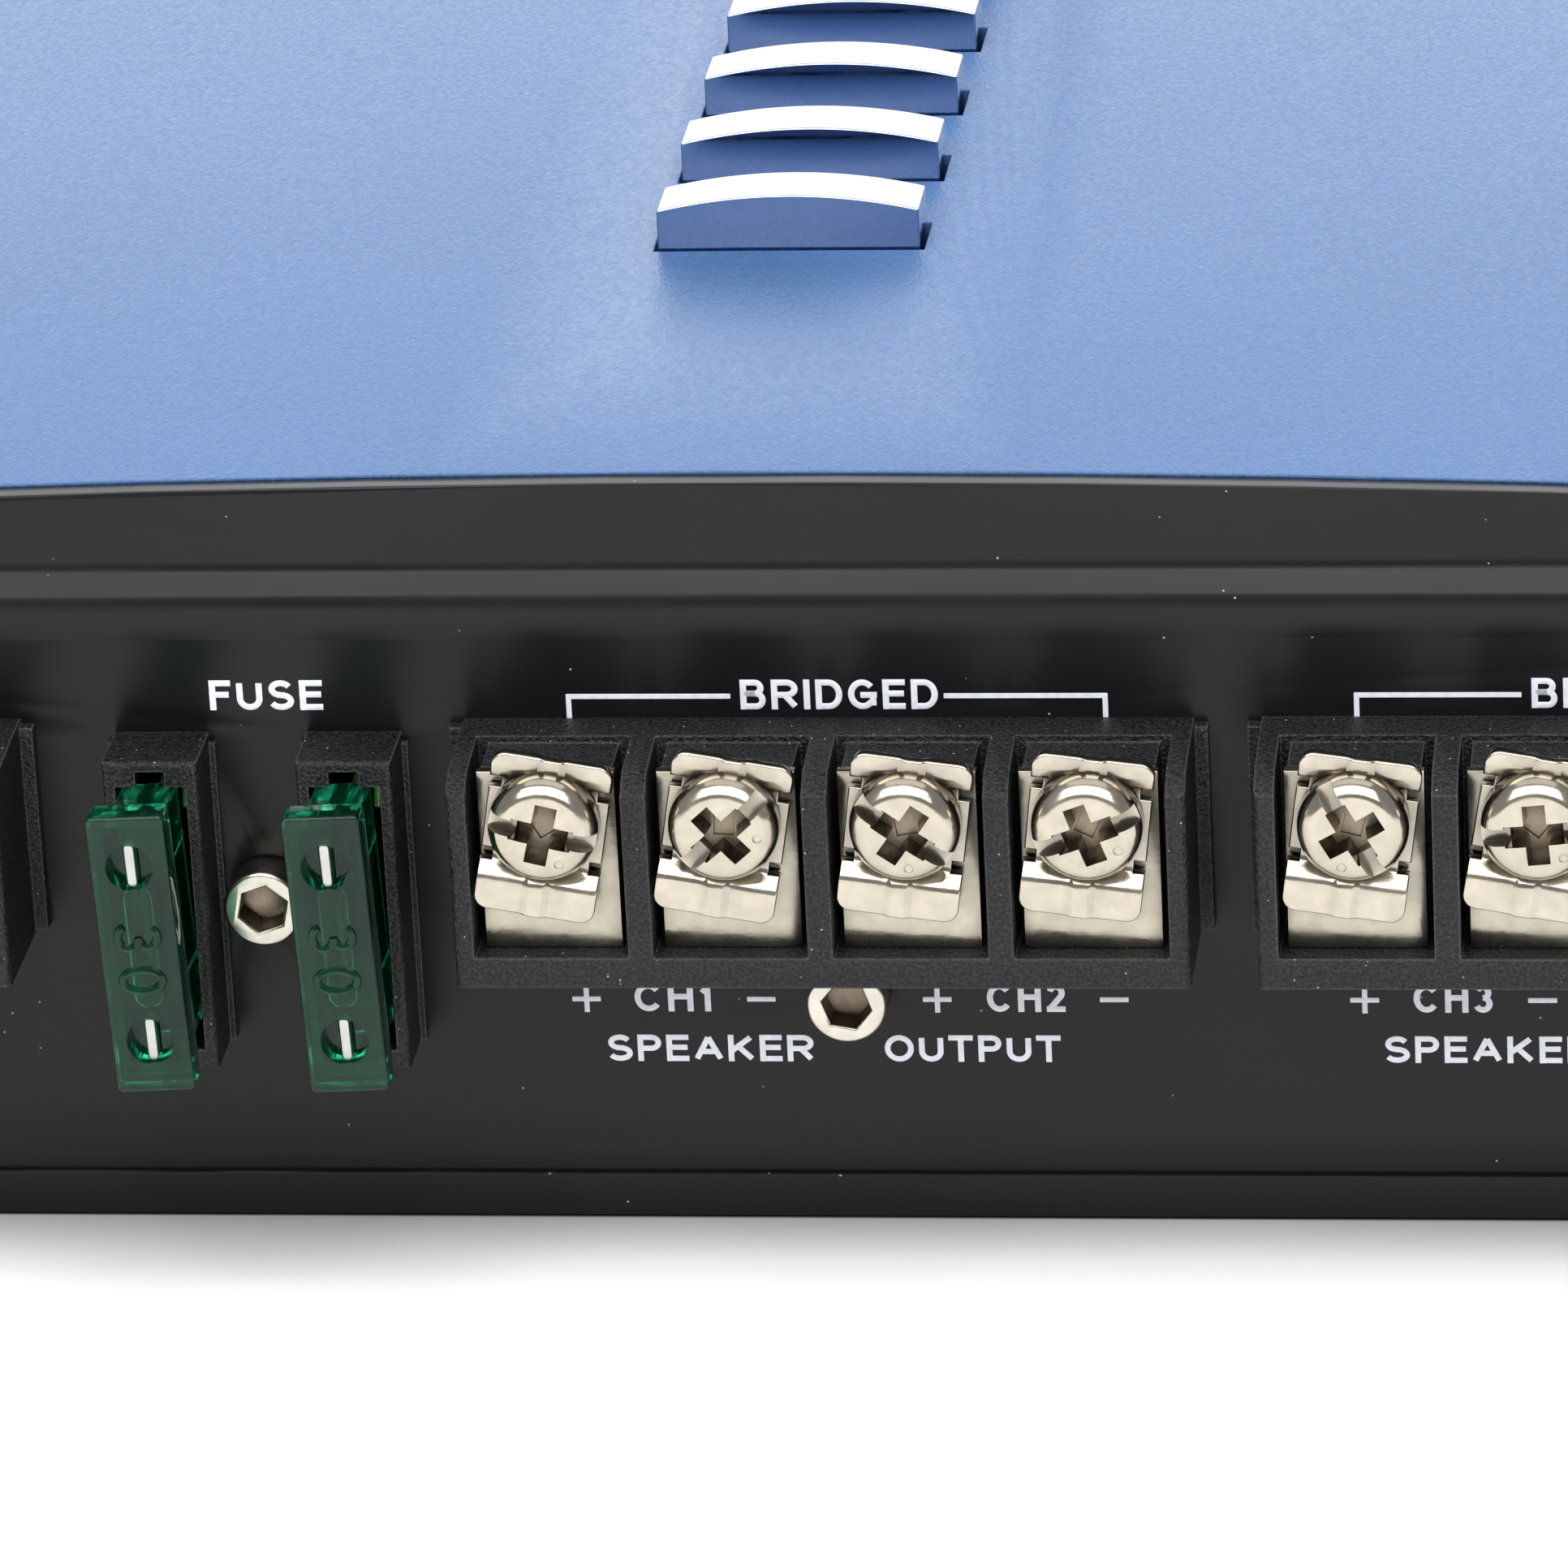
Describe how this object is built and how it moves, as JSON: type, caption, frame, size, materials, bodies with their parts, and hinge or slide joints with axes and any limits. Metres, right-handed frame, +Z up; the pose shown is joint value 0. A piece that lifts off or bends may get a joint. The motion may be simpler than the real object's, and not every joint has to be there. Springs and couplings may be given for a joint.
{
  "type": "car amplifier",
  "caption": "Flat car audio amplifier with a crowned cover, finned heat sink, terminal blocks with clamp screws, plug-in fuses, phono jacks and slotted feet.",
  "frame": {"origin": "middle of the overall box, on the face that rests on the mounting surface", "axes": "+X to the right seen from the terminal end, +Y from the terminal end to the input end, +Z up"},
  "size_m": [0.225, 0.27, 0.0548],
  "materials": {
    "cover_blue": "fine-textured powder coat",
    "fin_blue": "fine-textured powder coat",
    "polished_metal": "brushed bright tops, mirror sides",
    "panel_black": "satin black paint with white printing",
    "black_paint": "satin black paint",
    "black_moulding": "fine moulded grain",
    "black_steel": "black oxide",
    "nickel": "warm bright nickel plate",
    "zinc": "zinc",
    "brass": "bare",
    "raw_aluminium": "milled",
    "fuse_green": "clear green polycarbonate",
    "white_insert": "moulded",
    "red_insert": "moulded",
    "lamp_lens": "diffused lens",
    "board_green": "solder mask",
    "copper_wire": "enamelled copper wire",
    "capacitor_sleeve": "shrink sleeve",
    "knob_black": "moulded"
  },
  "bodies": {
    "case": {"heat_sink": "fin_blue", "top_cover": "cover_blue", "emblem_bars": "polished_metal", "bottom_plate": "black_paint", "front_panel": "panel_black", "rear_panel": "panel_black", "front_panel_screws": "nickel", "rear_panel_screws": "nickel", "panel_posts": "raw_aluminium", "floor_screws": "black_steel", "board_spacers": "brass", "board_nuts": "nickel", "power_block": "black_moulding", "speaker_a_block": "black_moulding", "speaker_b_block": "black_moulding", "power_terminals": "nickel", "speaker_a_terminals": "nickel", "speaker_b_terminals": "nickel", "fuse_holder_1": "black_moulding", "fuse_holder_2": "black_moulding", "fuse_clips": "brass", "jack_housing": "black_moulding", "jack_shells": "nickel", "jack_inserts_left": "white_insert", "jack_inserts_right": "red_insert", "control_bodies": "black_moulding", "switch_bodies": "nickel", "indicator_lamps": "lamp_lens", "circuit_board": "board_green", "input_board": "board_green", "toroid_winding": "copper_wire", "toroid_seat": "black_moulding", "capacitors": "capacitor_sleeve", "output_chokes": "copper_wire", "power_transistors": "black_moulding", "transistor_clamp_bars": "raw_aluminium", "clamp_bar_screws": "nickel"},
    "fuse_1": {"fuse_1_body": "fuse_green", "fuse_1_blades": "zinc"},
    "fuse_2": {"fuse_2_body": "fuse_green", "fuse_2_blades": "zinc"},
    "power_clamp_1": {"power_clamp_1": "nickel"},
    "power_clamp_2": {"power_clamp_2": "nickel"},
    "power_clamp_3": {"power_clamp_3": "nickel"},
    "speaker_a_clamp_1": {"speaker_a_clamp_1": "nickel"},
    "speaker_a_clamp_2": {"speaker_a_clamp_2": "nickel"},
    "speaker_a_clamp_3": {"speaker_a_clamp_3": "nickel"},
    "speaker_a_clamp_4": {"speaker_a_clamp_4": "nickel"},
    "speaker_b_clamp_1": {"speaker_b_clamp_1": "nickel"},
    "speaker_b_clamp_2": {"speaker_b_clamp_2": "nickel"},
    "speaker_b_clamp_3": {"speaker_b_clamp_3": "nickel"},
    "speaker_b_clamp_4": {"speaker_b_clamp_4": "nickel"},
    "gain_knob_a": {"gain_knob_a": "knob_black"},
    "gain_knob_b": {"gain_knob_b": "knob_black"},
    "crossover_knob_a": {"crossover_knob_a": "knob_black"},
    "crossover_knob_b": {"crossover_knob_b": "knob_black"},
    "filter_switch_a": {"filter_switch_a": "knob_black"},
    "filter_switch_b": {"filter_switch_b": "knob_black"}
  },
  "joints": [
    {"name": "fuse_1_pull", "type": "slide", "parent": "case", "child": "fuse_1", "axis": [0, -1, 0], "range_m": [0, 0.014]},
    {"name": "fuse_2_pull", "type": "slide", "parent": "case", "child": "fuse_2", "axis": [0, -1, 0], "range_m": [0, 0.014]},
    {"name": "power_clamp_1_travel", "type": "slide", "parent": "case", "child": "power_clamp_1", "axis": [0, -1, 0], "range_m": [0, 0.003]},
    {"name": "power_clamp_2_travel", "type": "slide", "parent": "case", "child": "power_clamp_2", "axis": [0, -1, 0], "range_m": [0, 0.003]},
    {"name": "power_clamp_3_travel", "type": "slide", "parent": "case", "child": "power_clamp_3", "axis": [0, -1, 0], "range_m": [0, 0.003]},
    {"name": "speaker_a_clamp_1_travel", "type": "slide", "parent": "case", "child": "speaker_a_clamp_1", "axis": [0, -1, 0], "range_m": [0, 0.003]},
    {"name": "speaker_a_clamp_2_travel", "type": "slide", "parent": "case", "child": "speaker_a_clamp_2", "axis": [0, -1, 0], "range_m": [0, 0.003]},
    {"name": "speaker_a_clamp_3_travel", "type": "slide", "parent": "case", "child": "speaker_a_clamp_3", "axis": [0, -1, 0], "range_m": [0, 0.003]},
    {"name": "speaker_a_clamp_4_travel", "type": "slide", "parent": "case", "child": "speaker_a_clamp_4", "axis": [0, -1, 0], "range_m": [0, 0.003]},
    {"name": "speaker_b_clamp_1_travel", "type": "slide", "parent": "case", "child": "speaker_b_clamp_1", "axis": [0, -1, 0], "range_m": [0, 0.003]},
    {"name": "speaker_b_clamp_2_travel", "type": "slide", "parent": "case", "child": "speaker_b_clamp_2", "axis": [0, -1, 0], "range_m": [0, 0.003]},
    {"name": "speaker_b_clamp_3_travel", "type": "slide", "parent": "case", "child": "speaker_b_clamp_3", "axis": [0, -1, 0], "range_m": [0, 0.003]},
    {"name": "speaker_b_clamp_4_travel", "type": "slide", "parent": "case", "child": "speaker_b_clamp_4", "axis": [0, -1, 0], "range_m": [0, 0.003]},
    {"name": "gain_knob_a_turn", "type": "hinge", "parent": "case", "child": "gain_knob_a", "pos_m": [0.022, 0.126, 0.024], "axis": [0, 1, 0], "range_deg": [-140, 140]},
    {"name": "gain_knob_b_turn", "type": "hinge", "parent": "case", "child": "gain_knob_b", "pos_m": [0.004, 0.126, 0.024], "axis": [0, 1, 0], "range_deg": [-140, 140]},
    {"name": "crossover_knob_a_turn", "type": "hinge", "parent": "case", "child": "crossover_knob_a", "pos_m": [-0.028, 0.126, 0.024], "axis": [0, 1, 0], "range_deg": [-140, 140]},
    {"name": "crossover_knob_b_turn", "type": "hinge", "parent": "case", "child": "crossover_knob_b", "pos_m": [-0.06, 0.126, 0.024], "axis": [0, 1, 0], "range_deg": [-140, 140]},
    {"name": "filter_switch_a_slide", "type": "slide", "parent": "case", "child": "filter_switch_a", "axis": [1, 0, 0], "range_m": [-0.0024, 0.0024]},
    {"name": "filter_switch_b_slide", "type": "slide", "parent": "case", "child": "filter_switch_b", "axis": [1, 0, 0], "range_m": [-0.0024, 0.0024]}
  ]
}
